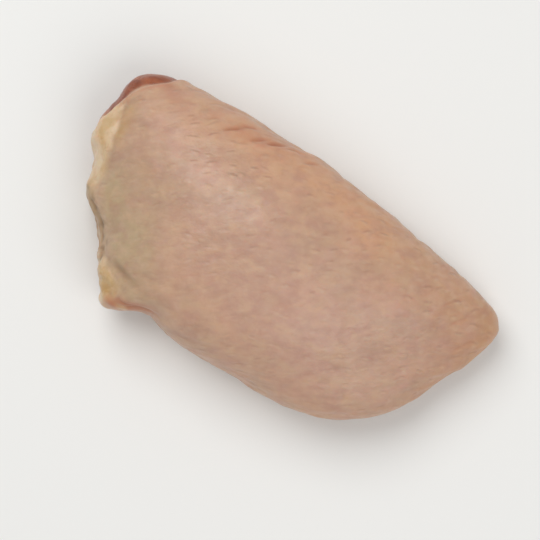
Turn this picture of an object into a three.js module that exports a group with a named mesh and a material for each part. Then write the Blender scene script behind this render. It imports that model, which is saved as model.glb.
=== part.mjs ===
// Raw chicken thigh, bone in and skin on, lying skin side up with the cut side under it.
// Millimetres, +Z up. +X runs along the thigh to its knee end, -X to the hip end,
// +Y across it to the long edge that ends in the meaty hip corner.
// The origin is the middle of the thigh's box, on the surface that it lies on.
// The thigh is one body. Its skin, fat and meat are one piece, as they are on the bird.
import * as THREE from "three";

// ---- Overall size ----
const LENGTH = 120; // hip end to knee end
const WIDTH = 62.5; // across, square to the length
const HEIGHT = 36; // top of the skin above the surface below

// ---- Plan: a polygon with soft corners, seen from above ----
// Each side faces a direction in degrees from +X, and lies some way out from the middle.
const PLAN_SIDES = [
  { side: "upper long edge", faces: 91.1, out: 32.4 },
  { side: "upper edge, falling to the knee", faces: 77.5, out: 35.3 },
  { side: "knee end", faces: -19.2, out: 51.5 },
  { side: "knee end, turning under", faces: -58.1, out: 39.2 },
  { side: "lower long edge", faces: -89.9, out: 29.1 },
  { side: "hip cut", faces: -153.6, out: 46.3 },
  { side: "hip corner", faces: 146.2, out: 63.0 },
];
const PLAN_CRISP = 10.8; // how crisp its corners are at the widest line
const CROWN_CRISP = 4.5; // and near the crown, where they fade out
// Small features of the outline: how far out (or in), at what direction, over how many degrees.
const PLAN_BUMPS = [
  { what: "lobe of the skin flap", out: 4.5, at: -136.7, over: 4.1 },
  { what: "notch beside the lobe", out: -2.8, at: -129.9, over: 7.8 },
  { what: "bump of the hip rim", out: 4.0, at: -172.5, over: 6.9 },
  { what: "upper swelling of the hip rim", out: 4.7, at: 172.7, over: 7.6 },
];
const BUMPS_FROM = 0.62; // part of the way out where the outline's features start on the skin
const BUMPS_FROM_UNDER = 0.82; // and underneath, where they curl in sooner

// ---- Widest line: its height above the surface ----
const WAIST = 12.2;
const WAIST_DIPS = [
  { what: "knee end", down: 4.4, at: 12, over: 30 },
  { what: "hip flap", down: 3.2, at: -165, over: 34 },
  { what: "hip corner", down: 3.0, at: 150, over: 16 },
];

// ---- Crown: the broad top of the thigh ----
const CROWN_AT = { x: -9, y: 2.5 }; // the highest place
const CROWN_FALL_KNEE = 9.5; // how much lower the crown is at the knee end
const CROWN_FALL_HIP = 5.5; // and at the hip end
const CROWN_FALL_ACROSS = 3.2; // and at the long edges
const FLANK_FULL = 2.75; // roundness of the flanks: 2 is an ellipse, more is fuller
const KNEE_FULL = 2.5; // roundness of the knee end, which tapers more
const HIP_FULL = 2.2; // and of the hip end, which tapers most

// ---- Muscles under the skin: broad low swellings ----
const MUSCLES = [
  { what: "thick outer muscle", x: -16, y: 10, long: 34, wide: 15, turned: -6, out: 0.9 },
  { what: "inner muscle", x: 16, y: -12, long: 30, wide: 11, turned: -14, out: 0.8 },
  { what: "end of the thigh bone", x: 38, y: 11, long: 12, wide: 9, turned: 20, out: 0.9 },
  { what: "dip behind the knee", x: 37, y: -7, long: 13, wide: 8, turned: 30, out: -0.9 },
  { what: "hollow along the hip", x: -38, y: -8, long: 17, wide: 8, turned: 55, out: -0.8 },
];

// ---- Roll of skin fat along the hip cut, and the crease inside it ----
const ROLL_FROM = 148; // direction where it starts, at the hip corner
const ROLL_TO = -134; // and where it ends, at the notch
const ROLL_FADE = 7; // degrees over which it rises and falls at its ends
const ROLL_OUT = 1.1; // how proud the roll is
const CREASE_DEEP = 1.3; // how deep the crease is
const CREASE_WIDE = 1.9; // half its width, at least
// How far the crease lies in from the outline, from the hip corner round to the lobe.
const CREASE_IN = [
  { at: 148, in: 4.4 },
  { at: 164, in: 5.0 },
  { at: 186, in: 8.6 },
  { at: 214, in: 7.6 },
  { at: 226, in: 6.0 },
];
// Lumps along the roll, from the cream fat at the hip corner round to the lobe.
const LUMPS = [
  { at: 161, out: 0.4, over: 4 },
  { at: 168, out: 0.9, over: 4.5 },
  { at: 174, out: 0.6, over: 4 },
  { at: 186, out: 1.1, over: 3 },
  { at: 196, out: -0.3, over: 6 },
  { at: 211, out: 0.9, over: 4 },
  { at: 217, out: 0.7, over: 3 },
  { at: 223.5, out: 0.6, over: 3 },
];

// ---- Ledge of bare meat at the hip corner, where the skin stops short of the outline ----
const LEDGE = { at: 150, over: 9, in: 9, wide: 3.2, deep: 1.6 };

// ---- Short folds of loose skin along the upper long edge ----
const FOLDS = [
  { x: -27, y: 27.0, long: 6.5, wide: 2.0, turned: 30, deep: 0.9 },
  { x: -20.5, y: 28.0, long: 5.5, wide: 1.9, turned: 30, deep: 0.9 },
  { x: -13.5, y: 28.2, long: 5.5, wide: 1.8, turned: 32, deep: 0.8 },
  { x: -6, y: 28.6, long: 5.0, wide: 1.7, turned: 32, deep: 0.6 },
  { x: 52, y: 12.0, long: 6.0, wide: 2.2, turned: 58, deep: 0.7 },
];

// ---- Underside: the thigh curls under to a flat rest ----
const REST_PART = 0.6; // the rest's reach, as a part of the plan's
const UNDER_FULL = 2.2; // roundness of the curl
const REST_MIDDLE = 0.2; // reach of its plain middle, as a part of the plan's

// ---- Facets ----
const STATIONS = 144; // round the outline
const SKIN_RINGS = 25; // from the crown out to the widest line
const UNDER_RINGS = 8; // from there to the rest

// ---- Helpers ----
const rad = THREE.MathUtils.degToRad;
const bell = (away, wide) => Math.exp(-((away / wide) ** 2));
const ease = THREE.MathUtils.smoothstep;
const turn = (a, b) => Math.atan2(Math.sin(a - b), Math.cos(a - b)); // from b to a
const around = (theta) => (THREE.MathUtils.radToDeg(theta) + 360) % 360; // 0 to 360 degrees

// A soft-cornered polygon's radius in a direction.
function softPolygon(theta, crisp) {
  let sum = 0;
  for (const { faces, out } of PLAN_SIDES)
    sum += Math.max(0, Math.cos(theta - rad(faces)) / out) ** crisp;
  return sum ** (-1 / crisp);
}

// The plan's radius: part 1 is the outline, and smaller parts lie inside it,
// rounder the nearer they are to the middle.
function planRadius(theta, part, bumpsFrom = BUMPS_FROM) {
  let bumps = 0;
  for (const { out, at, over } of PLAN_BUMPS)
    bumps += out * bell(turn(theta, rad(at)), rad(over));
  const outline = softPolygon(theta, PLAN_CRISP) + bumps;
  const inner = softPolygon(theta, CROWN_CRISP);
  return part * THREE.MathUtils.lerp(inner, outline, ease(part, bumpsFrom, 1));
}

// The raw outline's box, from which the plan is brought to LENGTH and WIDTH.
const raw = new THREE.Box2();
for (let k = 0; k < 1440; k++) {
  const theta = rad(k / 4), r = planRadius(theta, 1);
  raw.expandByPoint(new THREE.Vector2(r * Math.cos(theta), r * Math.sin(theta)));
}
const STRETCH = { x: LENGTH / (raw.max.x - raw.min.x), y: WIDTH / (raw.max.y - raw.min.y) };

function waist(theta) {
  let height = WAIST;
  for (const { down, at, over } of WAIST_DIPS)
    height -= down * bell(turn(theta, rad(at)), rad(over));
  return height;
}

function crown(x, y) {
  const along = (x - CROWN_AT.x) / (LENGTH / 2);
  const across = (y - CROWN_AT.y) / (WIDTH / 2);
  const fall = along > 0 ? CROWN_FALL_KNEE : CROWN_FALL_HIP;
  return HEIGHT - fall * along * along - CROWN_FALL_ACROSS * across * across;
}

// The ends are pinched more than the flanks.
function fullness(theta) {
  const end = Math.cos(theta) > 0 ? KNEE_FULL : HIP_FULL;
  return THREE.MathUtils.lerp(FLANK_FULL, end, Math.cos(theta) ** 4);
}

// The plain skin: part 0 is the middle of the crown, and part 1 the widest line.
function plainSkin(theta, part) {
  const r = planRadius(theta, part), full = fullness(theta), low = waist(theta);
  const x = r * Math.cos(theta) * STRETCH.x, y = r * Math.sin(theta) * STRETCH.y;
  const rise = Math.max(0, 1 - Math.min(1, part) ** full) ** (1 / full);
  return new THREE.Vector3(x, y, low + (crown(x, y) - low) * rise);
}

// The way out of the plain skin at a place.
function skinNormal(theta, part) {
  const p = Math.min(0.985, Math.max(0.02, part)), step = 0.008;
  const out = plainSkin(theta, p + step).sub(plainSkin(theta, p - step));
  const side = plainSkin(theta + step, p).sub(plainSkin(theta - step, p));
  return out.cross(side).normalize();
}

// A patch with its own direction: 1 in its middle, fading along and across it.
function patch({ x, y, long, wide, turned }, at) {
  const c = Math.cos(rad(turned)), s = Math.sin(rad(turned));
  const dx = at.x - x, dy = at.y - y;
  return bell(dx * c + dy * s, long) * bell(dy * c - dx * s, wide);
}

// How far the crease lies in from the outline.
function creaseIn(degrees) {
  const [first, last] = [CREASE_IN[0], CREASE_IN[CREASE_IN.length - 1]];
  if (degrees <= first.at) return first.in;
  for (let k = 1; k < CREASE_IN.length; k++) {
    const a = CREASE_IN[k - 1], b = CREASE_IN[k];
    if (degrees <= b.at)
      return THREE.MathUtils.lerp(a.in, b.in, ease(degrees, a.at, b.at));
  }
  return last.in;
}

// What stands out of the plain skin, or is sunk in it.
function relief(theta, part, at) {
  let out = 0;
  for (const muscle of MUSCLES) out += muscle.out * patch(muscle, at);
  for (const fold of FOLDS) out -= fold.deep * patch(fold, at);
  const degrees = around(theta), to = ROLL_TO + 360;
  const rolled = ease(degrees, ROLL_FROM - ROLL_FADE, ROLL_FROM + ROLL_FADE) *
    (1 - ease(degrees, to - ROLL_FADE, to + ROLL_FADE));
  if (rolled > 0) {
    const inset = (1 - part) * planRadius(theta, 1), crease = creaseIn(degrees);
    let proud = ROLL_OUT;
    for (const lump of LUMPS) proud += lump.out * bell(degrees - lump.at, lump.over);
    out += rolled * (proud * bell(inset - 0.4 * crease, 0.36 * crease) -
      CREASE_DEEP * bell(inset - crease, Math.max(CREASE_WIDE, 0.3 * crease)));
  }
  const side = bell(degrees - LEDGE.at, LEDGE.over);
  out -= LEDGE.deep * side * ease(part, 1 - LEDGE.in / 60, 1 - (LEDGE.in - LEDGE.wide) / 60);
  return out * (1 - ease(part, 0.975, 1)); // nothing is added at the widest line itself
}

function skin(theta, part) {
  const at = plainSkin(theta, part);
  return at.addScaledVector(skinNormal(theta, part), relief(theta, part, at));
}

// The underside: part 1 is the widest line, and REST_PART and less the flat rest.
function underside(theta, part) {
  const r = planRadius(theta, part, BUMPS_FROM_UNDER);
  const curl = Math.max(0, (part - REST_PART) / (1 - REST_PART));
  const drop = 1 - Math.max(0, 1 - curl ** UNDER_FULL) ** (1 / UNDER_FULL);
  return new THREE.Vector3(
    r * Math.cos(theta) * STRETCH.x, r * Math.sin(theta) * STRETCH.y,
    waist(theta) * drop,
  );
}

// Directions of the stations, at equal steps along the outline.
function stations(count) {
  const fine = 7200, reach = [0];
  const place = (k) => {
    const theta = (k / fine) * Math.PI * 2, r = planRadius(theta, 1);
    return new THREE.Vector2(r * Math.cos(theta), r * Math.sin(theta));
  };
  for (let k = 1; k <= fine; k++) reach.push(reach[k - 1] + place(k).distanceTo(place(k - 1)));
  const found = [];
  for (let n = 0, k = 0; n < count; n++) {
    const wanted = (n / count) * reach[fine];
    while (reach[k + 1] < wanted) k++;
    found.push(((k + (wanted - reach[k]) / (reach[k + 1] - reach[k])) / fine) * Math.PI * 2);
  }
  return found;
}

// ---- Body: rings of points from the crown down to the rest, stitched together ----
const directions = stations(STATIONS);
const points = [], faces = [];

// A ring takes every so many stations, fewer where it is small.
function ring(make, part, every) {
  const made = [];
  for (let k = 0; k < STATIONS; k += every) {
    made.push(points.length);
    points.push(make(directions[k], part));
  }
  return made;
}

// The band between a ring and the next one in, which has as many points or a whole part of them.
// The ring above comes out facing out on the skin, and the order turns round underneath.
function stitch(outer, inner, under) {
  const add = (a, b, c) => faces.push(...(under ? [a, c, b] : [a, b, c]));
  const ratio = outer.length / inner.length, half = Math.ceil(ratio / 2);
  for (let k = 0; k < inner.length; k++) {
    const here = inner[k], next = inner[(k + 1) % inner.length];
    for (let n = 0; n < ratio; n++) {
      const a = outer[k * ratio + n], b = outer[(k * ratio + n + 1) % outer.length];
      add(a, b, n < half ? here : next);
      if (n + 1 === half) add(b, next, here);
    }
  }
}

const everyFor = (part) => (part > 0.5 ? 1 : part > 0.25 ? 2 : part > 0.12 ? 4 : 12);
let outer = ring(skin, 1, 1);
const rim = outer;
for (let k = SKIN_RINGS - 1; k > 0; k--) {
  const part = Math.sin((k / SKIN_RINGS) * Math.PI / 2) ** (2 / FLANK_FULL);
  const inner = ring(skin, part, everyFor(part));
  stitch(outer, inner, false);
  outer = inner;
}
const top = points.length;
points.push(skin(0, 0));
outer.forEach((at, k) => faces.push(at, outer[(k + 1) % outer.length], top));

outer = rim;
for (let k = UNDER_RINGS - 1; k >= 0; k--) {
  const curl = Math.sin((k / UNDER_RINGS) * Math.PI / 2) ** (2 / UNDER_FULL);
  const inner = ring(underside, REST_PART + (1 - REST_PART) * curl, 1);
  stitch(outer, inner, true);
  outer = inner;
}
for (const [part, every] of [[0.45, 3], [0.3, 12]]) {
  const inner = ring(underside, part, every);
  stitch(outer, inner, true);
  outer = inner;
}
const middle = ring(underside, REST_MIDDLE, STATIONS / 3);
stitch(outer, middle, true);
faces.push(middle[0], middle[2], middle[1]);

const geometry = new THREE.BufferGeometry().setFromPoints(points).setIndex(faces);

// The box is brought to its sizes, with the middle of its bottom at the origin.
geometry.computeBoundingBox();
const box = geometry.boundingBox, size = box.getSize(new THREE.Vector3());
geometry.translate(-(box.min.x + box.max.x) / 2, -(box.min.y + box.max.y) / 2, 0);
geometry.scale(LENGTH / size.x, WIDTH / size.y, HEIGHT / box.max.z);
geometry.computeVertexNormals();

const raw_skin = new THREE.MeshStandardMaterial({
  name: "skin", color: new THREE.Color("#bf9a86"), roughness: 0.5, metalness: 0,
});
const thigh = new THREE.Mesh(geometry, raw_skin);
thigh.name = "thigh";

const part = new THREE.Group();
part.name = "raw_chicken_thigh";
part.add(thigh);
export default part;
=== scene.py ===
# Raw chicken thigh, bone in and skin on, lying skin side up: one detailed mesh of its skin, fat and meat
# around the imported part, on a plain pale floor in soft light, seen from straight above.
import math

import bpy
import numpy as np
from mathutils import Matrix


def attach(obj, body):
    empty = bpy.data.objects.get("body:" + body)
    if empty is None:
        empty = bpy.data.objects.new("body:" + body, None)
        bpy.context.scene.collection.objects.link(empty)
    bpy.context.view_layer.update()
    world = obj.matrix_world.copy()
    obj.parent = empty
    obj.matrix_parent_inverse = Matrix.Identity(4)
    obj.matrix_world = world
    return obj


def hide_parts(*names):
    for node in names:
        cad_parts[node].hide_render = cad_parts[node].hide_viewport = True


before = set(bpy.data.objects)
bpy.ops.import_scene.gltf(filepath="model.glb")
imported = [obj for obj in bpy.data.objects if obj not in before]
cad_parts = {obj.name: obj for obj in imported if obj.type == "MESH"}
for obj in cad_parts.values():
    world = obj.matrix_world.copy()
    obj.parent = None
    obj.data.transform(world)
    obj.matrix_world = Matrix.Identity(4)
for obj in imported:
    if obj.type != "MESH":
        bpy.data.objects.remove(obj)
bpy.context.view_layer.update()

# ---------------------------------------------------------------- sizes, in millimetres
LENGTH, WIDTH, HEIGHT = 120.0, 62.5, 36.0
MM = 0.001

# The plan: a soft-cornered polygon. Each side faces a direction in degrees, at a distance out.
SIDES = ((91.1, 32.4), (77.5, 35.3), (-19.2, 51.5), (-58.1, 39.2), (-89.9, 29.1), (-153.6, 46.3), (146.2, 63.0))
PLAN_CRISP, CROWN_CRISP = 10.8, 4.5
# Features of the outline: out, at, over.
BUMPS = ((4.5, -136.7, 4.1), (-2.8, -129.9, 7.8), (4.0, -172.5, 6.9), (4.7, 172.7, 7.6))
BUMPS_FROM, BUMPS_FROM_UNDER = 0.62, 0.82
WAIST = 12.2
WAIST_DIPS = ((4.4, 12, 30), (3.2, -165, 34), (3.0, 150, 16))  # down, at, over
CROWN_AT = (-9.0, 2.5)
CROWN_FALL_KNEE, CROWN_FALL_HIP, CROWN_FALL_ACROSS = 9.5, 5.5, 3.2
FLANK_FULL, KNEE_FULL, HIP_FULL = 2.75, 2.5, 2.2
REST_PART, UNDER_FULL = 0.6, 2.2
# Muscles under the skin: x, y, long, wide, turned, out.
MUSCLES = (
    (-16, 10, 34, 15, -6, 0.9), (16, -12, 30, 11, -14, 0.8), (38, 11, 12, 9, 20, 0.9),
    (37, -7, 13, 8, 30, -0.9), (-38, -8, 17, 8, 55, -0.8),
)
# Short creases of loose skin along the upper edge and at the knee: x, y, long, wide, turned, deep.
FOLDS = (
    (-27.5, 26.0, 2.8, 0.42, 30, 0.8), (-24.5, 28.2, 2.2, 0.38, 20, 0.7), (-20.2, 27.0, 2.6, 0.40, 33, 0.7),
    (-15.6, 28.4, 2.9, 0.42, 24, 0.9), (-11.0, 29.0, 2.2, 0.36, 18, 0.6), (-5.5, 28.6, 2.2, 0.36, 22, 0.5),
    (-33.5, 25.0, 2.0, 0.38, 34, 0.35), (-23.5, 24.0, 1.8, 0.36, 30, 0.35), (49.0, 15.2, 3.2, 0.45, 58, 0.35),
    (53.5, 9.5, 3.0, 0.45, 64, 0.30), (45.0, 18.0, 2.6, 0.42, 50, 0.25),
)
# The hip end, by direction in degrees from +X. Where the skin's cut edge lies, in mm below the widest line,
# measured along the surface: at the hip corner it stops well above that line, and bare meat shows from above.
HIP_EDGE = ((138, 21.0), (142, 13.0), (145, 3.0), (147, -5.0), (149.5, -9.6), (153, -10.6), (156, -10.0), (159, -9.0),
            (163, -8.0), (168, -7.0), (172, -5.0), (176, -1.2), (181, 1.2), (187, 2.4), (200, 2.0), (212, 3.4),
            (221, 3.0), (226, 4.0), (230, 12.0), (236, 21.0))
# How far in from the outline the rim of fat reaches, seen from above.
FAT_IN = ((150, 2.6), (158, 2.8), (162, 3.6), (166, 5.0), (170, 6.8), (174, 7.6), (177, 6.2), (180, 4.6), (183, 3.4),
          (186, 3.4), (189, 2.2), (194, 1.5), (200, 1.5), (205, 2.0), (208, 3.8), (212, 6.4), (216, 6.4), (220, 5.2),
          (224, 3.8), (229, 2.0))
# How much fat shows there, and how proud it is.
FAT_SHOWS = ((157, 0.0), (161, 0.15), (165, 0.65), (169, 0.95), (180, 0.95), (183, 0.8), (186, 0.95), (189, 0.55), (193, 0.18),
             (203, 0.18), (207, 0.6), (211, 0.9), (217, 0.85), (221, 0.6), (225, 0.25), (229, 0.0))
FAT_PROUD = ((156, 0.0), (162, 0.2), (168, 0.55), (173, 0.7), (178, 0.45), (182.5, 0.2), (186, 0.6),
             (189.5, 0.2), (196, 0.1), (203, 0.2), (208, 0.5), (213, 0.75), (218, 0.55), (222, 0.6), (226, 0.3), (230, 0.0))
# Small lumps and hollows of the rim: direction, mm up the surface from the widest line, along, up, turned, out.
RIM_LUMPS = (
    (169.5, 8.2, 2.4, 2.2, 8, 0.40), (174.2, 8.0, 2.2, 1.9, -12, 0.35), (178.4, 7.6, 2.0, 1.8, 10, 0.28),
    (186.0, 5.2, 1.6, 2.4, 0, 0.55), (163.2, 11.2, 3.0, 0.9, -8, -0.28), (166.5, 14.6, 3.2, 1.0, 6, -0.22),
    (190.6, 7.0, 1.7, 0.9, 24, -0.42), (195.4, 7.6, 1.9, 1.0, -18, -0.40), (200.0, 6.4, 1.5, 0.8, 12, -0.34),
    (207.3, 7.2, 1.5, 0.9, -30, -0.40), (193.0, 4.2, 1.6, 1.3, 0, 0.28), (198.0, 3.6, 1.8, 1.2, 15, 0.24),
    (204.0, 5.0, 1.7, 1.4, 0, 0.26), (211.8, 9.6, 2.3, 1.9, 20, 0.42), (216.4, 8.0, 2.0, 1.7, -20, 0.42),
    (213.8, 5.0, 1.6, 1.2, 0, 0.28), (222.2, 9.6, 2.2, 1.8, 0, 0.45), (219.4, 10.8, 1.5, 1.0, 40, -0.28),
    (227.0, 11.4, 3.2, 0.9, 6, -0.50), (224.2, 13.6, 2.4, 0.8, -14, -0.30),
)

# ---------------------------------------------------------------- facets
STATIONS = 704  # round the outline
SKIN_RINGS, UNDER_RINGS = 122, 72

# The skin's fine pattern runs across the thigh in rows, at this angle from +X.
GRAIN = math.radians(32.0)


# ---------------------------------------------------------------- helpers
def rad(a):
    return np.radians(a)


def bell(away, wide):
    return np.exp(-((away / wide) ** 2))


def ease(x, a, b):
    t = np.clip((x - a) / (b - a), 0.0, 1.0)
    return t * t * (3 - 2 * t)


def turn(a, b):
    return np.arctan2(np.sin(a - b), np.cos(a - b))


def mix(a, b, t):
    return a + (b - a) * t


def lattice(seed, n=64, dims=3):
    return np.random.default_rng(seed).uniform(-1, 1, (n,) * dims)


def noise3(p, size, seed):
    """Smooth noise from about -1 to 1 at points p, with cells of that size."""
    g = lattice(seed)
    n = g.shape[0]
    q = p / size + 1000.37
    i = np.floor(q).astype(int)
    f = q - i
    f = f * f * f * (f * (f * 6 - 15) + 10)
    out = 0.0
    for a in (0, 1):
        for b in (0, 1):
            for c in (0, 1):
                w = (f[..., 0] if a else 1 - f[..., 0]) * (f[..., 1] if b else 1 - f[..., 1]) * (f[..., 2] if c else 1 - f[..., 2])
                out = out + w * g[(i[..., 0] + a) % n, (i[..., 1] + b) % n, (i[..., 2] + c) % n]
    return out * 1.6


def noise_sum(p, size, seed, octaves=3, gain=0.5):
    out, amp, total = 0.0, 1.0, 0.0
    for k in range(octaves):
        out = out + amp * noise3(p, size / 2**k, seed + 11 * k)
        total += amp
        amp *= gain
    return out / total


def noise_round(theta, lumps, seed):
    """Smooth noise round the thigh, with about that many lumps in a full turn."""
    r = lumps / (2 * math.pi)
    p = np.stack([np.cos(theta) * r, np.sin(theta) * r, np.zeros_like(theta)], -1)
    return noise3(p, 1.0, seed)


# ---------------------------------------------------------------- plain form
def soft_polygon(theta, crisp):
    total = 0.0
    for faces, out in SIDES:
        total = total + (np.maximum(0, np.cos(theta - rad(faces))) / out) ** crisp
    return total ** (-1 / crisp)


def plan_radius(theta, part, bumps_from=BUMPS_FROM):
    bumps = 0.0
    for out, at, over in BUMPS:
        bumps = bumps + out * bell(turn(theta, rad(at)), rad(over))
    outline = soft_polygon(theta, PLAN_CRISP) + bumps
    return part * mix(soft_polygon(theta, CROWN_CRISP), outline, ease(part, bumps_from, 1))


_t = rad(np.arange(1440) / 4.0)
_r = plan_radius(_t, 1.0)
STRETCH = (LENGTH / np.ptp(_r * np.cos(_t)), WIDTH / np.ptp(_r * np.sin(_t)))
SHIFT = (-(np.max(_r * np.cos(_t)) + np.min(_r * np.cos(_t))) / 2 * STRETCH[0],
         -(np.max(_r * np.sin(_t)) + np.min(_r * np.sin(_t))) / 2 * STRETCH[1])


def waist(theta):
    height = WAIST
    for down, at, over in WAIST_DIPS:
        height = height - down * bell(turn(theta, rad(at)), rad(over))
    return height


def crown(x, y):
    along = (x - CROWN_AT[0]) / (LENGTH / 2)
    across = (y - CROWN_AT[1]) / (WIDTH / 2)
    fall = np.where(along > 0, CROWN_FALL_KNEE, CROWN_FALL_HIP)
    return HEIGHT - fall * along**2 - CROWN_FALL_ACROSS * across**2


def plain_skin(theta, part):
    full = mix(FLANK_FULL, np.where(np.cos(theta) > 0, KNEE_FULL, HIP_FULL), np.cos(theta) ** 4)
    low, r = waist(theta), plan_radius(theta, part)
    x, y = r * np.cos(theta) * STRETCH[0], r * np.sin(theta) * STRETCH[1]
    rise = np.maximum(0, 1 - np.minimum(1, part) ** full) ** (1 / full)
    return np.stack([x, y, low + (crown(x, y) - low) * rise], -1)


def underside(theta, part):
    r = plan_radius(theta, part, BUMPS_FROM_UNDER)
    curl = np.maximum(0, (part - REST_PART) / (1 - REST_PART))
    drop = 1 - np.maximum(0, 1 - curl**UNDER_FULL) ** (1 / UNDER_FULL)
    return np.stack([r * np.cos(theta) * STRETCH[0], r * np.sin(theta) * STRETCH[1], waist(theta) * drop], -1)


def stations(count):
    theta = np.linspace(0, 2 * math.pi, 7201)
    r = plan_radius(theta, 1.0)
    step = np.hypot(np.diff(r * np.cos(theta)), np.diff(r * np.sin(theta)))
    reach = np.r_[0, np.cumsum(step)]
    return np.interp(np.arange(count) / count * reach[-1], reach, theta)


def evenly(line, count):
    """Each profile (point, station, xyz) taken again at count + 1 equal steps of its length. Returns points and lengths."""
    step = np.linalg.norm(np.diff(line, axis=0), axis=2)
    reach = np.concatenate([np.zeros((1, step.shape[1])), np.cumsum(step, axis=0)])
    out = np.empty((count + 1, line.shape[1], 3))
    for j in range(line.shape[1]):
        want = np.linspace(0, reach[-1, j], count + 1)
        for c in range(3):
            out[:, j, c] = np.interp(want, reach[:, j], line[:, j, c])
    return out, reach[-1]


theta = stations(STATIONS)
tau = np.linspace(0, math.pi / 2, 700)[:, None]
top, top_length = evenly(plain_skin(theta[None], np.sin(tau) ** (2 / FLANK_FULL)), SKIN_RINGS)
curl_part = REST_PART + (1 - REST_PART) * np.sin(tau[::-1]) ** (2 / UNDER_FULL)
flat_part = np.linspace(REST_PART, 0, 200)[1:, None]
low_line = np.concatenate([underside(theta[None], curl_part), underside(theta[None], flat_part)])
low, low_length = evenly(low_line, UNDER_RINGS)
P = np.concatenate([top, low[1:]])  # from the middle of the crown, round the edge, to the middle of the rest
P[..., 0] += SHIFT[0]
P[..., 1] += SHIFT[1]
rings = P.shape[0]
T = np.broadcast_to(theta[None], (rings, STATIONS))
# Distance along the skin from the crown, and below the widest line (negative above it).
k = np.arange(rings)[:, None]
below = np.where(k <= SKIN_RINGS, (k / SKIN_RINGS - 1) * top_length, (k - SKIN_RINGS) / UNDER_RINGS * low_length)
from_crown = below + top_length
U = np.stack([np.cos(T) * from_crown, np.sin(T) * from_crown], -1)  # the skin laid out flat
degrees = np.degrees(T) % 360


def normals(points):
    along = np.gradient(points, axis=0)
    side = np.roll(points, -1, 1) - np.roll(points, 1, 1)
    n = np.cross(along, side)
    length = np.linalg.norm(n, axis=2, keepdims=True)
    n = n / np.maximum(length, 1e-9)
    for band, z in ((slice(0, 3), 1.0), (slice(rings - 3, rings), -1.0)):
        n[band] = (0, 0, z)
    return n


def push(points, amount):
    return points + normals(points) * amount[..., None]


def spot(x, y, long, wide, turned, at=None):
    at = P if at is None else at
    c, s = math.cos(math.radians(turned)), math.sin(math.radians(turned))
    dx, dy = at[..., 0] - x, at[..., 1] - y
    return bell(dx * c + dy * s, long) * bell(dy * c - dx * s, wide)


up_side = ease(-below, -2.0, 3.0)  # 1 above the widest line

deg = np.degrees(theta) % 360
radius = np.hypot(P[..., 0] - P[0, 0, 0], P[..., 1] - P[0, 0, 1])
inset = np.where(k <= SKIN_RINGS, radius[SKIN_RINGS][None] - radius, 0.0)  # in from the outline, seen from above

wobble = noise_sum(P, 5.0, 63, 2)


def by_direction(table, smooth=1.2):
    """A value from a table by direction, softened, for each station."""
    fine = np.arange(0, 360, 0.25)
    line = np.interp(fine, [a for a, _ in table], [b for _, b in table])
    reach = int(3 * smooth / 0.25)
    kernel = bell(np.arange(-reach, reach + 1) * 0.25, smooth)
    line = np.convolve(np.pad(line, reach, "edge"), kernel / kernel.sum(), "valid")
    return np.interp(deg, fine, line)


def rim_spot(direction, up_at, long, wide, turned=0.0):
    """Like spot, on the surface near the outline: at a direction, and up the surface from the widest line."""
    along = turn(T, rad(direction)) * radius[SKIN_RINGS][None] + 0.5 * wobble
    over = -below - up_at + 0.7 * np.roll(wobble, 40, 1)
    c, s = math.cos(math.radians(turned)), math.sin(math.radians(turned))
    return bell(along * c + over * s, long) * bell(over * c - along * s, wide)


def up_from_outline(plan_mm):
    """Distance up the surface from the widest line, for a distance in from the outline seen from above."""
    return np.array([np.interp(-plan_mm[j], -inset[: SKIN_RINGS + 1, j], -below[: SKIN_RINGS + 1, j]) for j in range(STATIONS)])


# ---------------------------------------------------------------- where the skin ends
# The skin wraps under the long edges and the knee. Its cut edge lies this far below the widest line.
edge_at = 21.0 + 3.0 * noise_round(theta, 9, 5) + 1.3 * noise_round(theta, 26, 6) + 0.5 * noise_round(theta, 70, 7)
hip = ease(deg, 138, 146) * (1 - ease(deg, 228, 238))
hip_edge = by_direction(HIP_EDGE) + 0.55 * noise_round(theta, 34, 8) + 0.35 * noise_round(theta, 90, 9)
edge_at = mix(edge_at, hip_edge, hip)
ring_there = np.where(edge_at > 0, SKIN_RINGS + edge_at / low_length * UNDER_RINGS, SKIN_RINGS * (1 + edge_at / top_length)).round().astype(int)
here = np.arange(STATIONS)
spacing = np.linalg.norm(P[ring_there, (here + 1) % STATIONS] - P[ring_there, here - 1], axis=1)
slant = (np.roll(edge_at, -1) - np.roll(edge_at, 1)) / spacing
slant = (slant + np.roll(slant, 2) + np.roll(slant, -2)) / 3
past_edge = below - edge_at[None]  # mm past the skin's edge: negative on skin, positive on meat
near_edge = past_edge / np.sqrt(1 + slant**2)[None]  # the same, square to the edge where it runs aslant

# ---------------------------------------------------------------- large relief
swell = np.zeros((rings, STATIONS))
for x, y, long, wide, turned, out in MUSCLES:
    swell += out * spot(x, y, long, wide, turned)
swell *= up_side
swell += 0.7 * noise_sum(P, 24.0, 21, 2) * (1 - ease(past_edge, 2.0, 6.0))
P1 = push(P, swell)

# The rim of fat: a low soft ridge between the skin's cut edge and a shallow groove, with lumps in it.
fat_top = up_from_outline(by_direction(FAT_IN) + 0.45 * noise_round(theta, 44, 31) + 0.25 * noise_round(theta, 110, 35))
fat_low = -edge_at
across_fat = (-below - fat_low[None]) / np.maximum(fat_top - fat_low, 2.0)[None]  # 0 at the cut edge, 1 at the groove
shows = by_direction(FAT_SHOWS)[None]
proud = by_direction(FAT_PROUD)[None]
dome = np.clip(4 * across_fat * (1 - across_fat), 0, 1) ** 0.8
lumpy = 1.0 + 0.35 * noise_sum(P, 4.6, 32, 2)
groove = bell(-below - fat_top[None] - 0.4, 1.3) * (0.55 + 0.6 * noise_round(theta, 40, 36)[None]) * np.clip(shows * 1.1, 0, 1) * up_side
rim_lumps = np.zeros_like(T)
for direction, up_at, long, wide, turned, out in RIM_LUMPS:
    rim_lumps += out * rim_spot(direction, up_at, long, wide, turned)
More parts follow.
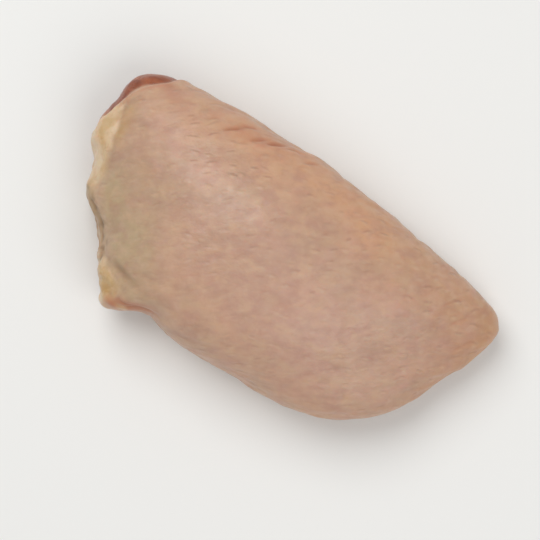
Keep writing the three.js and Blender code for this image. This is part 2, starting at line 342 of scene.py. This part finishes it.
rim_lumps -= 0.35 * spot(-32.2, -20.9, 4.2, 0.8, -16) * ease(-below, 12.0, 16.0)
P2 = push(P1, proud * dome * lumpy + rim_lumps * up_side - (0.12 + 0.35 * proud) * groove)

# Folds of loose skin that run in from the rim, and soft tucks along the edges.
U32 = np.stack([U[..., 0] * math.cos(GRAIN) + U[..., 1] * math.sin(GRAIN),
                U[..., 1] * math.cos(GRAIN) - U[..., 0] * math.sin(GRAIN)], -1)
flat3 = np.concatenate([U32, np.zeros_like(T)[..., None]], -1)
behind_fat = -below - fat_top[None]
pull = shows * ease(behind_fat, 0.5, 4.0) * (1 - ease(behind_fat, 7.0, 20.0))
ripples = noise_sum(np.stack([from_crown * 0.25, T * 26.0, np.zeros_like(T)], -1), 3.2, 41, 2)
tucks = noise_sum(flat3 * (0.30, 1.0, 1.0), 3.4, 43, 2)
flank = ease(below, -17.0, -5.0) * (1 - ease(past_edge, -1.0, 2.0))
fold_mask, fold_lip = np.zeros_like(T), np.zeros_like(T)
for x, y, long, wide, turned, deep in FOLDS:
    bend = 0.5 * noise3(flat3, 4.0, 47)
    c, s = math.cos(math.radians(turned)), math.sin(math.radians(turned))
    dx, dy = P[..., 0] - x, P[..., 1] - y
    a, b = dx * c + dy * s, dy * c - dx * s + bend
    fold_mask += deep * np.exp(-np.abs(a / long) ** 3) * bell(b, wide)
    fold_lip += deep * np.exp(-np.abs(a / long) ** 3) * bell(b + 2.3 * wide, 1.6 * wide)
fold_mask *= up_side
fold_lip *= up_side
hip_face = hip[None] * ease(below, -13.0, -6.0) * (1 - ease(past_edge, -1.0, 1.5))
hang = noise_sum(np.stack([below * 0.22, T * 34.0, np.zeros_like(T)], -1), 2.6, 45, 2) + 0.5 * noise_sum(P, 2.8, 46, 2)
P3 = push(P2, 0.28 * pull * ripples + 0.40 * flank * tucks + 0.30 * hip_face * hang - 0.75 * fold_mask + 0.28 * fold_lip)

# The cut edge of the skin stands off the meat beneath it.
on_meat = ease(near_edge, -0.35, 0.75)
meaty = bell(deg - 155.5, 13.0)[None]  # the hip corner, where the meat bulges out from under the skin
step = -1.35 * on_meat * (0.35 + 0.65 * (1 - ease(past_edge, 3.0, 13.0))) * (1 - 0.55 * meaty)
step += 1.5 * meaty * bell(past_edge - 5.5, 3.6) * on_meat
lip = 0.30 * bell(near_edge + 1.1, 1.0) * (1 - ease(below, 12, 16))
bundles = noise_sum(np.stack([P[..., 0] * 0.16 + P[..., 1] * 0.02, P[..., 1] * 1.0 - P[..., 0] * 0.12, P[..., 2]], -1), 6.5, 51, 2)
fibres = noise_sum(np.stack([P[..., 0] * 0.10, P[..., 1] * 1.0 - P[..., 0] * 0.12, P[..., 2]], -1), 1.5, 53, 2)
meat_relief = on_meat * (0.75 * np.minimum(bundles, 0.35) + 0.12 * fibres)
P4 = push(P3, step + lip + meat_relief)
P4[..., 2] = np.maximum(P4[..., 2], 0.02)

# ---------------------------------------------------------------- fine relief of the skin
X0, Y0 = P[..., 0], P[..., 1]
skin_on = 1 - ease(near_edge, -0.6, 0.4)
fat_edge_soft = 1 - ease(across_fat + 0.14 * noise_sum(P, 4.0, 61, 3), 0.78, 1.10)
fat_roll = np.clip(shows * 1.25 + 0.35 * noise3(P, 3.0, 62) * (shows > 0.02) * (shows < 0.9), 0, 1) * fat_edge_soft * up_side
fat_roll = np.clip(fat_roll, 0, 1) * skin_on
pattern = skin_on * (1 - 0.85 * fat_roll) * (1 - 0.4 * ease(below, -6.0, 4.0))
# The follicles stand out more in some places than in others.
patchy = np.clip(0.60 + 0.50 * noise_sum(flat3, 15.0, 81, 2) + 0.35 * spot(-20, 18, 26, 12, -10) + 0.35 * ease(X0 + 0.3 * Y0, 25, 50), 0.15, 1.2)
bent = flat3 + np.stack([noise3(flat3, 9.0, 87), 1.4 * noise3(flat3, 12.0, 88), np.zeros_like(T)], -1)
wrinkle = noise_sum(bent * (0.36, 1.0, 1.0), 1.9, 91, 2)
ripple = 1 - np.abs(noise3(bent * (0.30, 1.0, 1.0), 2.6, 93)) * 2.2  # short soft crests with troughs between
grit = noise3(P, 1.4, 95)
fine = pattern * (0.5 + 0.5 * patchy) * (0.085 * wrinkle + 0.035 * np.clip(ripple, -1, 1) + 0.02 * grit)
fine += fat_roll * (0.14 * noise_sum(P, 2.2, 97, 2) + 0.03 * grit)
P5 = push(P4, fine)
P5[..., 2] = np.maximum(P5[..., 2], 0.02)

# The tallest point stays at the thigh's height.
P5[..., 2] *= HEIGHT / P5[..., 2].max()

# ---------------------------------------------------------------- masks for the material
X, Y, Z = P5[..., 0], P5[..., 1], P5[..., 2]
blotch = noise_sum(P, 11.0, 101, 3)
masks = {
    "meat": np.clip(on_meat, 0, 1),
    "fat": np.clip(fat_roll, 0, 1),
    "follicles": np.clip(pattern * patchy, 0, 1.2),
    # painted shade: darker in the troughs of the fine wrinkles
    "painted_trough_shade": np.clip(-wrinkle * 1.1 - 0.15, 0, 1) * pattern,
    # pinker in the middle and towards the knee, greener-yellow low on the hip side, warmer along the upper edge
    "pink": np.clip(spot(14, -7, 32, 17, -8) * (1.0 + 0.5 * blotch), 0, 1),
    "olive": np.clip((spot(-36, -13, 20, 12, -50) + 0.9 * spot(-43.5, -7.5, 8, 2.6, -58) * ease(-below, 6.0, 10.0)) * (1.0 + 0.4 * blotch), 0, 1),
    "warm": np.clip((spot(-6, 27, 40, 7, -2) + 0.4 * spot(24, 21, 16, 7, -12)) * (1.0 + 0.5 * blotch) * up_side, 0, 1),
    "tan": np.clip(ease(X + 0.30 * Y + 3.0 * blotch, 42, 62) * (0.85 + 0.4 * blotch), 0, 1),
    # redder and darker in the folds, along the upper edge and at the low hip lobe: partly the skin's own redder tone,
    # partly painted shade in these folds
    "red": np.clip(fold_mask * 1.0 + 0.32 * spot(-21, 27.0, 11, 2.2, 16) + 0.25 * spot(-48, 26.2, 6, 1.6, -30) + 1.05 * (rim_spot(224.8, 10.8, 3.7, 2.3, 12) + 0.8 * rim_spot(224.0, 14.4, 3.0, 2.0, 8)
                          + 0.45 * rim_spot(226.5, 6.5, 3.6, 4.0)) * (0.9 + 0.6 * blotch)
                   + 0.4 * bell(past_edge + 0.9, 0.8) * hip[None], 0, 1) * skin_on,
    # painted shade: dark brown in the groove behind the rim of fat, in a crease at the lower hip corner and in the
    # rim's hollows
    "painted_crease_shade": np.clip(groove * 0.35 + 0.45 * spot(-32.2, -20.9, 4.2, 1.0, -16) * ease(-below, 12.0, 16.0) + 0.7 * np.maximum(0, -rim_lumps) * up_side, 0, 1),
    "yellow": np.clip(1.15 * rim_spot(215.5, 9.0, 5.8, 4.6, 10) + 0.4 * rim_spot(177.0, 8.0, 6.0, 3.0)
                      + 0.25 * noise_sum(P, 6.0, 107, 2), 0, 1),
    "ochre": np.clip((rim_spot(167.5, 14.6, 4.4, 2.0, 6) + 0.6 * rim_spot(162.0, 12.6, 3.6, 1.4, -8) + 0.7 * rim_spot(218.0, 8.4, 2.6, 2.0)
                      + 0.5 * rim_spot(197.0, 7.0, 8.0, 2.6)) * up_side, 0, 1),
    # more orange-tan low on the flanks: partly the skin's own tone, partly painted shade where the flanks turn away
    # from the light
    "side": np.clip(ease(below + 2.5 * blotch, -13.0, 2.0), 0, 1) * skin_on,
    # painted shade: dark brown in the hollows of the low hip rim
    "painted_pit_shade": np.clip(-2.2 * np.minimum(rim_lumps, 0) * by_direction(((184, 0), (188, 1), (208, 1), (212, 0)))[None], 0, 1) * up_side,
    "streak": np.clip(0.5 + 0.5 * noise_sum(np.stack([(-below + 2.4 * noise_sum(P, 6.0, 114, 2)) * 0.8, T * 12.0, Z * 0.0], -1), 1.9, 113, 3), 0, 1),
    "rim": np.clip((1 - ease(inset + 0.45 * noise3(P, 2.6, 118), 1.0, 2.5)) * by_direction(((184, 0), (188, 1), (206, 1), (210, 0)))[None]
                   * (0.9 + 0.5 * noise_round(theta, 60, 117)[None]), 0, 1) * skin_on,
    # painted shade: dark brown specks near the outline of the low hip rim, standing for small shadowed hollows
    "painted_speck_shade": np.clip(2.4 * (noise3(P * (1.0, 1.0, 0.6), 1.5, 131) - 0.22), 0, 1) * bell(inset - 1.7, 1.3)
             * by_direction(((183, 0), (187, 1), (207, 1), (212, 0)))[None] * up_side * skin_on,
    "corner": np.clip(meaty * 1.3, 0, 1) * on_meat * (1 - ease(below, 3.0, 9.0)),
    "dusky": np.clip((spot(-41, 10, 9, 7, 0) + 0.5 * spot(-12, -5, 14, 9, 20)) * (1.0 + 0.4 * blotch), 0, 1),
    # painted light: paler along the upper side and on the lower flank, where the flanks fall into shade
    "light": np.clip((spot(-35, 21, 13, 7, -4) + spot(0, 20.5, 20, 5.5, -6) + 0.8 * spot(6, -23, 26, 6, -10) + 0.6 * spot(38, -10, 14, 8, 30)) * (1.0 + 0.4 * blotch) * up_side, 0, 1),
    "seam": np.clip(ease(noise_sum(P, 6.5, 121, 3) + 0.9 * bell(past_edge - 2.0, 3.4) - 0.42, 0.0, 0.35), 0, 1) * on_meat * (1 - ease(meaty, 0.10, 0.5) * (1 - ease(below, 4.0, 9.0))),
    "cut": np.clip(bell(near_edge - 0.05, 0.60) * (0.75 + 0.5 * noise_round(theta, 60, 111)[None]), 0, 1),
}

# ---------------------------------------------------------------- mesh
points, place = [], np.full((rings, STATIONS), -1)


def every_for(ring):
    part = np.mean(np.hypot(P[ring, :, 0] - P[0, 0, 0], P[ring, :, 1] - P[0, 0, 1]) / np.hypot(P[SKIN_RINGS, :, 0] - P[0, 0, 0], P[SKIN_RINGS, :, 1] - P[0, 0, 1]))
    return 1 if part > 0.5 else 2 if part > 0.25 else 4 if part > 0.12 else 8 if part > 0.06 else 32


used = []
count = 0
for ring in range(rings):
    if ring in (0, rings - 1):
        place[ring, 0] = count
        used.append((ring, STATIONS))
        count += 1
        continue
    every = every_for(ring)
    ids = np.arange(0, STATIONS, every)
    place[ring, ids] = count + np.arange(len(ids))
    used.append((ring, every))
    count += len(ids)
order = [(r, e) for r, e in used]
take = np.concatenate([np.stack([np.full(1 if e == STATIONS else STATIONS // e, r), np.array([0]) if e == STATIONS else np.arange(0, STATIONS, e)], -1) for r, e in order])
verts = P5[take[:, 0], take[:, 1]]
faces = []
for (r0, e0), (r1, e1) in zip(order[:-1], order[1:]):
    if e0 == STATIONS:  # fan at the crown
        ring = place[r1][np.arange(0, STATIONS, e1)]
        faces += [(int(place[r0, 0]), int(a), int(b)) for a, b in zip(ring, np.roll(ring, -1))]
    elif e1 == STATIONS:  # fan at the rest
        ring = place[r0][np.arange(0, STATIONS, e0)]
        faces += [(int(place[r1, 0]), int(b), int(a)) for a, b in zip(ring, np.roll(ring, -1))]
    elif e0 == e1:
        ids = np.arange(0, STATIONS, e0)
        a, b = place[r0][ids], place[r1][ids]
        faces += np.stack([a, b, np.roll(b, -1), np.roll(a, -1)], -1).tolist()
    else:  # one ring has several times as many points as the other
        fine_ring, fine_every, coarse_ring, coarse_every = (r1, e1, r0, e0) if e1 < e0 else (r0, e0, r1, e1)
        ratio = coarse_every // fine_every
        out_is_fine = fine_ring == r1
        for c in range(STATIONS // coarse_every):
            here, nxt = place[coarse_ring, c * coarse_every], place[coarse_ring, ((c + 1) * coarse_every) % STATIONS]
            line = [int(place[fine_ring, (c * coarse_every + n * fine_every) % STATIONS]) for n in range(ratio + 1)]
            half = (ratio + 1) // 2
            for n in range(ratio):
                tri = (line[n], line[n + 1], int(here if n < half else nxt))
                faces.append(tri if out_is_fine else tri[::-1])
                if n + 1 == half:
                    tri = (line[n + 1], int(nxt), int(here))
                    faces.append(tri if out_is_fine else tri[::-1])

mesh = bpy.data.meshes.new("thigh_skin")
mesh.from_pydata((verts * MM).tolist(), [], faces)
mesh.validate()
mesh.update()
thigh = bpy.data.objects.new("thigh_skin", mesh)
bpy.context.scene.collection.objects.link(thigh)
mesh.polygons.foreach_set("use_smooth", np.ones(len(mesh.polygons), bool))
for name, values in masks.items():
    layer = mesh.attributes.new(name, "FLOAT", "POINT")
    layer.data.foreach_set("value", values[take[:, 0], take[:, 1]].astype(np.float32))
layer = mesh.attributes.new("laid_out", "FLOAT_VECTOR", "POINT")
laid = flat3[take[:, 0], take[:, 1]]
layer.data.foreach_set("vector", (laid * MM).astype(np.float32).ravel())

# Two islands for the baked maps: the skin seen from above, and the underside.
split = SKIN_RINGS + 8
upper = from_crown
lower = from_crown[-1:] - from_crown
loops = np.empty(len(mesh.loops), np.int32)
mesh.loops.foreach_get("vertex_index", loops)
starts = np.empty(len(mesh.polygons), np.int32)
totals = np.empty(len(mesh.polygons), np.int32)
mesh.polygons.foreach_get("loop_start", starts)
mesh.polygons.foreach_get("loop_total", totals)
ring_of = take[:, 0]
mean_ring = np.add.reduceat(ring_of[loops], starts) / totals
is_top = np.repeat(mean_ring < split, totals)
th = theta[take[:, 1]]
su, sl = upper[take[:, 0], take[:, 1]], lower[take[:, 0], take[:, 1]]
top_uv = np.stack([su * np.cos(th), su * np.sin(th)], -1)
low_uv = np.stack([sl * np.cos(th), sl * np.sin(th)], -1)
a = top_uv[ring_of <= split]
b = low_uv[ring_of >= split]
span = max(np.ptp(a[:, 0]), np.ptp(b[:, 0]), np.ptp(a[:, 1]) + np.ptp(b[:, 1]) + 3.0) * 1.02
top_uv = (top_uv - a.min(0)) / span + (0.01, 0.01)
low_uv = (low_uv - b.min(0)) / span + (0.01, 0.01 + (np.ptp(a[:, 1]) + 3.0) / span)
uv = np.where(is_top[:, None], top_uv[loops], low_uv[loops])
uv_map = mesh.uv_layers.new(name="OFBake")
uv_map.data.foreach_set("uv", uv.astype(np.float32).ravel())


# ---------------------------------------------------------------- material
def srgb(r, g, b):
    c = np.array([r, g, b]) / 255.0
    c = np.where(c <= 0.04045, c / 12.92, ((c + 0.055) / 1.055) ** 2.4)
    return (*c.tolist(), 1.0)


class Nodes:
    """Short ways to add nodes to a material."""

    def __init__(self, material):
        material.use_nodes = True
        self.tree = material.node_tree
        self.tree.nodes.clear()

    def add(self, kind, **settings):
        node = self.tree.nodes.new(kind)
        for key, value in settings.items():
            setattr(node, key, value)
        return node

    def put(self, socket, value):
        if isinstance(value, bpy.types.NodeSocket):
            self.tree.links.new(value, socket)
        else:
            socket.default_value = value

    def attribute(self, name, output="Fac"):
        return self.add("ShaderNodeAttribute", attribute_name=name).outputs[output]

    def vector(self, kind, a, b, c=None):
        m = self.add("ShaderNodeVectorMath", operation=kind)
        for k, v in enumerate((a, b) if c is None else (a, b, c)):
            self.put(m.inputs[k], v)
        return m.outputs["Vector"]

    def split(self, vector):
        m = self.add("ShaderNodeSeparateXYZ")
        self.put(m.inputs[0], vector)
        return m.outputs[0], m.outputs[1], m.outputs[2]

    def noise_colour(self, vector, scale, detail=2.0):
        t = self.add("ShaderNodeTexNoise")
        self.put(t.inputs["Vector"], vector)
        t.inputs["Scale"].default_value = scale
        t.inputs["Detail"].default_value = detail
        return t.outputs["Color"]

    def noise(self, vector, scale, detail=3.0, rough=0.5, distort=0.0, stretch=None):
        if stretch is not None:
            m = self.add("ShaderNodeMapping")
            m.inputs["Scale"].default_value = stretch
            self.put(m.inputs["Vector"], vector)
            vector = m.outputs["Vector"]
        n = self.add("ShaderNodeTexNoise")
        self.put(n.inputs["Vector"], vector)
        n.inputs["Scale"].default_value = scale
        n.inputs["Detail"].default_value = detail
        n.inputs["Roughness"].default_value = rough
        n.inputs["Distortion"].default_value = distort
        return n.outputs["Fac"]

    def span(self, value, a, b, low=0.0, high=1.0, smooth=True):
        r = self.add("ShaderNodeMapRange", interpolation_type="SMOOTHSTEP" if smooth else "LINEAR")
        self.put(r.inputs["Value"], value)
        for key, v in (("From Min", a), ("From Max", b), ("To Min", low), ("To Max", high)):
            self.put(r.inputs[key], v)
        return r.outputs["Result"]

    def math(self, kind, a, b=0.0, clamp=False):
        m = self.add("ShaderNodeMath", operation=kind, use_clamp=clamp)
        self.put(m.inputs[0], a)
        self.put(m.inputs[1], b)
        return m.outputs[0]

    def blend(self, amount, a, b, mode="MIX"):
        m = self.add("ShaderNodeMix", data_type="RGBA", blend_type=mode)
        self.put(m.inputs["Factor"], amount)
        self.put(m.inputs[6], a)
        self.put(m.inputs[7], b)
        return m.outputs[2]


raw = bpy.data.materials.new("raw_chicken_skin")
n = Nodes(raw)
out = n.add("ShaderNodeOutputMaterial")
shader = n.add("ShaderNodeBsdfPrincipled")
n.put(out.inputs["Surface"], shader.outputs["BSDF"])
laid_out = n.attribute("laid_out", "Vector")
body = n.add("ShaderNodeTexCoord").outputs["Object"]

# Follicles: short creases in wandering rows across the thigh, each with a low bump beside it. Pitches in metres.
ROW, STEP = 0.0037, 0.0052
sway = n.noise_colour(laid_out, 55.0, 2.0)
placed = n.vector("MULTIPLY_ADD", sway, (0.0050, 0.0042, 0.0), laid_out)
grid = n.vector("MULTIPLY", placed, (1 / STEP, 1 / ROW, 0.0))
cells = n.add("ShaderNodeTexVoronoi", feature="F1", voronoi_dimensions="2D")
n.put(cells.inputs["Vector"], grid)
cells.inputs["Scale"].default_value = 1.0
cells.inputs["Randomness"].default_value = 0.72
local = n.vector("MULTIPLY", n.vector("SUBTRACT", grid, cells.outputs["Position"]), (STEP * 1000, ROW * 1000, 0.0))  # mm
along, over, _ = n.split(local)
chance_a, chance_b, chance_c = n.split(cells.outputs["Color"])
over = n.math("ADD", over, n.math("MULTIPLY", along, n.math("MULTIPLY", n.math("SUBTRACT", chance_c, 0.5), 0.55)))
over = n.math("ADD", over, n.math("MULTIPLY", n.math("MULTIPLY", along, along), n.math("MULTIPLY", n.math("SUBTRACT", chance_b, 0.4), 0.16)))
half = n.span(chance_b, 0.0, 1.0, 0.8, 2.0, smooth=False)
reach = n.math("DIVIDE", n.math("ABSOLUTE", along), half)
strength = n.math("MULTIPLY", n.span(chance_a, 0.10, 1.0, 0.15, 0.9, smooth=False), n.attribute("follicles"))
dash = n.math("MULTIPLY", n.span(reach, 1.35, 0.25), n.span(n.math("ABSOLUTE", over), 0.62, 0.0))
dash = n.math("MULTIPLY", dash, strength)
bump_at = n.math("ADD", over, 0.62)
bump_reach = n.math("SQRT", n.math("ADD", n.math("POWER", n.math("DIVIDE", along, 1.15), 2.0), n.math("POWER", n.math("DIVIDE", bump_at, 0.78), 2.0)))
bump = n.math("MULTIPLY", n.span(bump_reach, 1.25, 0.0), n.math("MULTIPLY", n.span(chance_c, 0.0, 1.0, 0.35, 1.0, smooth=False), n.attribute("follicles")))

# Skin: pale pink-beige, with blotches a centimetre or so across and finer mottling over them, with painted shade in
# creases, troughs, folds and on the flanks, and painted light along the upper side and lower flank.
broad = n.noise(body, 75.0, 3.0, 0.55, 0.6)
middle = n.noise(body, 210.0, 3.0, 0.6, 0.4)
small = n.noise(laid_out, 560.0, 2.0, 0.5, 0.3, (0.75, 1.0, 1.0))
tint = n.noise(laid_out, 290.0, 2.0, 0.5, 0.6, (0.65, 1.0, 1.0))
short = n.noise(laid_out, 250.0, 0.0, 0.5, 0.8, (0.70, 1.15, 1.0))
skin = n.blend(n.span(broad, 0.34, 0.66), srgb(187, 153, 129), srgb(196, 154, 132))
skin = n.blend(n.math("MULTIPLY", n.attribute("pink"), 0.80), skin, srgb(196, 158, 139))
skin = n.blend(n.math("MULTIPLY", n.attribute("olive"), 0.85), skin, srgb(182, 160, 126))
skin = n.blend(n.math("MULTIPLY", n.attribute("warm"), 0.80), skin, srgb(208, 157, 120))
# Orange-tan on the flanks: partly own tone, partly painted shade.
skin = n.blend(n.math("MULTIPLY", n.attribute("side"), 0.75), skin, srgb(196, 145, 107))
skin = n.blend(n.math("MULTIPLY", n.attribute("tan"), 0.95), skin, srgb(198, 147, 106))
# Painted light along the upper side and the lower flank.
skin = n.blend(n.math("MULTIPLY", n.attribute("light"), 0.40), skin, srgb(214, 170, 140))
skin = n.blend(n.math("MULTIPLY", n.attribute("dusky"), 0.38), skin, srgb(182, 138, 112))
skin = n.blend(n.span(middle, 0.52, 0.72, 0.0, 0.38), skin, srgb(206, 171, 140))
skin = n.blend(n.span(middle, 0.48, 0.30, 0.0, 0.32), skin, srgb(180, 138, 118))
skin = n.blend(n.span(tint, 0.50, 0.70, 0.0, 0.14), skin, srgb(203, 168, 124))
skin = n.blend(n.span(tint, 0.50, 0.30, 0.0, 0.16), skin, srgb(192, 148, 140))
skin = n.blend(n.span(short, 0.50, 0.74, 0.0, 0.14), skin, srgb(212, 180, 154))
skin = n.blend(n.span(short, 0.50, 0.26, 0.0, 0.15), skin, srgb(168, 126, 109))
skin = n.blend(n.span(small, 0.46, 0.70, 0.0, 0.17), skin, srgb(212, 180, 152))
skin = n.blend(n.span(small, 0.44, 0.26, 0.0, 0.15), skin, srgb(170, 126, 104))
# Painted shade in the troughs of the fine wrinkles.
skin = n.blend(n.math("MULTIPLY", n.attribute("painted_trough_shade"), 0.22), skin, srgb(166, 122, 104))
# Paler on the follicle bumps: partly their own paler tone, partly a painted highlight.
skin = n.blend(n.math("MULTIPLY", bump, 0.26), skin, srgb(214, 184, 156))
# Painted shade: darker in the follicle creases.
skin = n.blend(n.math("MULTIPLY", dash, 0.36), skin, srgb(158, 114, 94))
# Redder in the folds, along the upper edge and at the hip lobe: partly own tone, partly painted shade.
skin = n.blend(n.math("MULTIPLY", n.attribute("red"), 0.66), skin, srgb(181, 103, 68))
skin = n.blend(n.math("MULTIPLY", n.attribute("ochre"), 0.60), skin, srgb(198, 160, 104))
# Painted shade in the grooves and hollows.
skin = n.blend(n.math("MULTIPLY", n.attribute("painted_crease_shade"), 0.62), skin, srgb(138, 102, 70))

# Fat: cream, yellower low down, lumpy.
grain = n.noise(body, 520.0, 3.0, 0.6, 0.5)
fat = n.blend(n.attribute("yellow"), srgb(214, 187, 153), srgb(195, 154, 93))
fat = n.blend(n.span(grain, 0.40, 0.62, 0.0, 0.5), fat, srgb(220, 192, 156))
fat = n.blend(n.span(grain, 0.44, 0.30, 0.0, 0.40), fat, srgb(184, 144, 104))
fat = n.blend(n.span(n.attribute("streak"), 0.50, 0.90, 0.0, 0.60), fat, srgb(224, 199, 168))
fat = n.blend(n.span(n.attribute("streak"), 0.48, 0.12, 0.0, 0.50), fat, srgb(193, 160, 110))
fat = n.blend(n.math("MULTIPLY", n.attribute("ochre"), 0.6), fat, srgb(188, 150, 92))
# Painted shade in the grooves and hollows of the fat.
fat = n.blend(n.math("MULTIPLY", n.attribute("painted_crease_shade"), 0.75), fat, srgb(132, 96, 62))

# Meat: pinkish red, in long soft bundles, with pale films and flecks of fat.
strands = n.noise(body, 260.0, 4.0, 0.6, 0.5, (0.14, 1.0, 1.0))
film = n.noise(body, 95.0, 3.0, 0.55, 1.0, (0.45, 1.0, 1.0))
meat = n.blend(n.span(strands, 0.30, 0.70), srgb(142, 80, 58), srgb(180, 116, 88))
meat = n.blend(n.span(film, 0.53, 0.70, 0.0, 0.75), meat, srgb(212, 164, 136))
meat = n.blend(n.span(film, 0.66, 0.78, 0.0, 0.8), meat, srgb(226, 196, 150))
meat = n.blend(n.math("MULTIPLY", n.attribute("corner"), 0.72), meat, n.blend(n.span(strands, 0.30, 0.70), srgb(122, 54, 28), srgb(160, 88, 54)))

meat = n.blend(n.math("MULTIPLY", n.attribute("seam"), 0.85), meat, n.blend(n.span(grain, 0.36, 0.64), srgb(206, 168, 124), srgb(226, 200, 162)))

colour = n.blend(n.attribute("fat"), skin, fat)
colour = n.blend(n.math("MULTIPLY", n.attribute("rim"), 0.80), colour, srgb(163, 130, 90))
# Painted shade in the hollows of the rim.
colour = n.blend(n.math("MULTIPLY", n.attribute("painted_pit_shade"), 0.58), colour, srgb(130, 98, 64))
# Painted shade: dark specks near the rim's outline.
colour = n.blend(n.math("MULTIPLY", n.attribute("painted_speck_shade"), 0.55), colour, srgb(126, 94, 62))
colour = n.blend(n.attribute("meat"), colour, meat)
colour = n.blend(n.math("MULTIPLY", n.attribute("cut"), 0.55), colour, srgb(214, 176, 146))
n.put(shader.inputs["Base Color"], colour)

# Moist and soft: a satin skin, with wetter fat and meat.
wet = n.noise(body, 330.0, 3.0, 0.6)
rough = n.add("ShaderNodeMix", data_type="FLOAT")
n.put(rough.inputs[0], n.math("MAXIMUM", n.attribute("meat"), n.math("MULTIPLY", n.attribute("fat"), 0.6)))
n.put(rough.inputs[2], n.span(wet, 0.32, 0.70, 0.38, 0.54))
n.put(rough.inputs[3], n.span(wet, 0.32, 0.70, 0.24, 0.42))
n.put(shader.inputs["Roughness"], rough.outputs[0])

# Relief in millimetres: follicles, fine wrinkles and pores.
creases = n.noise(laid_out, 620.0, 3.0, 0.6, 0.4, (0.45, 1.0, 1.0))
pores = n.add("ShaderNodeTexVoronoi", feature="F1")
n.put(pores.inputs["Vector"], laid_out)
pores.inputs["Scale"].default_value = 1100.0
pores.inputs["Randomness"].default_value = 1.0
relief = n.math("ADD", n.math("MULTIPLY", creases, 0.11), n.math("MULTIPLY", pores.outputs["Distance"], 0.035))
relief = n.math("ADD", relief, n.math("MULTIPLY", bump, 0.14))
relief = n.math("SUBTRACT", relief, n.math("MULTIPLY", dash, 0.12))
bumps = n.add("ShaderNodeBump")
bumps.inputs["Strength"].default_value = 1.0
bumps.inputs["Distance"].default_value = 0.001
n.put(bumps.inputs["Height"], relief)
n.put(shader.inputs["Normal"], bumps.outputs["Normal"])
shader.inputs["Subsurface Weight"].default_value = 0.45
shader.inputs["Subsurface Radius"].default_value = (1.0, 0.42, 0.25)
shader.inputs["Subsurface Scale"].default_value = 0.0022
shader.inputs["Specular IOR Level"].default_value = 0.42
shader.inputs["Coat Weight"].default_value = 0.16
shader.inputs["Coat Roughness"].default_value = 0.28
mesh.materials.append(raw)

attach(thigh, "root")
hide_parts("thigh")

# ---------------------------------------------------------------- floor, light and camera
floor_mesh = bpy.data.meshes.new("floor")
floor_mesh.from_pydata([(-3, -3, 0), (3, -3, 0), (3, 3, 0), (-3, 3, 0)], [], [(0, 1, 2, 3)])
floor = bpy.data.objects.new("floor", floor_mesh)
bpy.context.scene.collection.objects.link(floor)
paper = bpy.data.materials.new("pale_floor")
paper.use_nodes = True
paper.node_tree.nodes["Principled BSDF"].inputs["Base Color"].default_value = srgb(238, 238, 236)
paper.node_tree.nodes["Principled BSDF"].inputs["Roughness"].default_value = 0.75
floor_mesh.materials.append(paper)

world = bpy.data.worlds.new("soft_room")
world.use_nodes = True
world.node_tree.nodes["Background"].inputs["Color"].default_value = (1.0, 1.0, 0.995, 1.0)
world.node_tree.nodes["Background"].inputs["Strength"].default_value = 0.40
bpy.context.scene.world = world

up = np.array([-math.sin(GRAIN), math.cos(GRAIN), 0.0])  # the picture's up
right = np.array([math.cos(GRAIN), math.sin(GRAIN), 0.0])


def lamp(name, place, size, power, colour=(1, 1, 1)):
    data = bpy.data.lights.new(name, "AREA")
    data.shape, data.size, data.energy, data.color = "DISK", size, power, colour
    o = bpy.data.objects.new(name, data)
    o.location = place
    from mathutils import Vector
    o.rotation_euler = (Vector((0, 0, 0.015)) - Vector(place)).to_track_quat("-Z", "Y").to_euler()
    bpy.context.scene.collection.objects.link(o)
    return o


lamp("key", tuple(up * 0.45 - right * 0.25 + (0, 0, 0.80)), 0.70, 4.75, (1.0, 0.995, 0.985))
lamp("fill", tuple(-up * 0.5 + right * 0.4 + (0, 0, 0.75)), 0.9, 3.1, (1.0, 0.995, 0.99))

camera_data = bpy.data.cameras.new("camera")
camera_data.lens, camera_data.sensor_width = 180.0, 36.0
camera = bpy.data.objects.new("camera", camera_data)
FRAME_WIDTH = 0.142
camera.location = (0.0, 0.0, 0.02 + FRAME_WIDTH / 2 / math.tan(math.atan(18.0 / 180.0)))
camera.rotation_euler = (0, 0, GRAIN)
bpy.context.scene.collection.objects.link(camera)
bpy.context.scene.camera = camera
bpy.context.scene.view_settings.view_transform = "Standard"
bpy.context.scene.view_settings.look = "None"
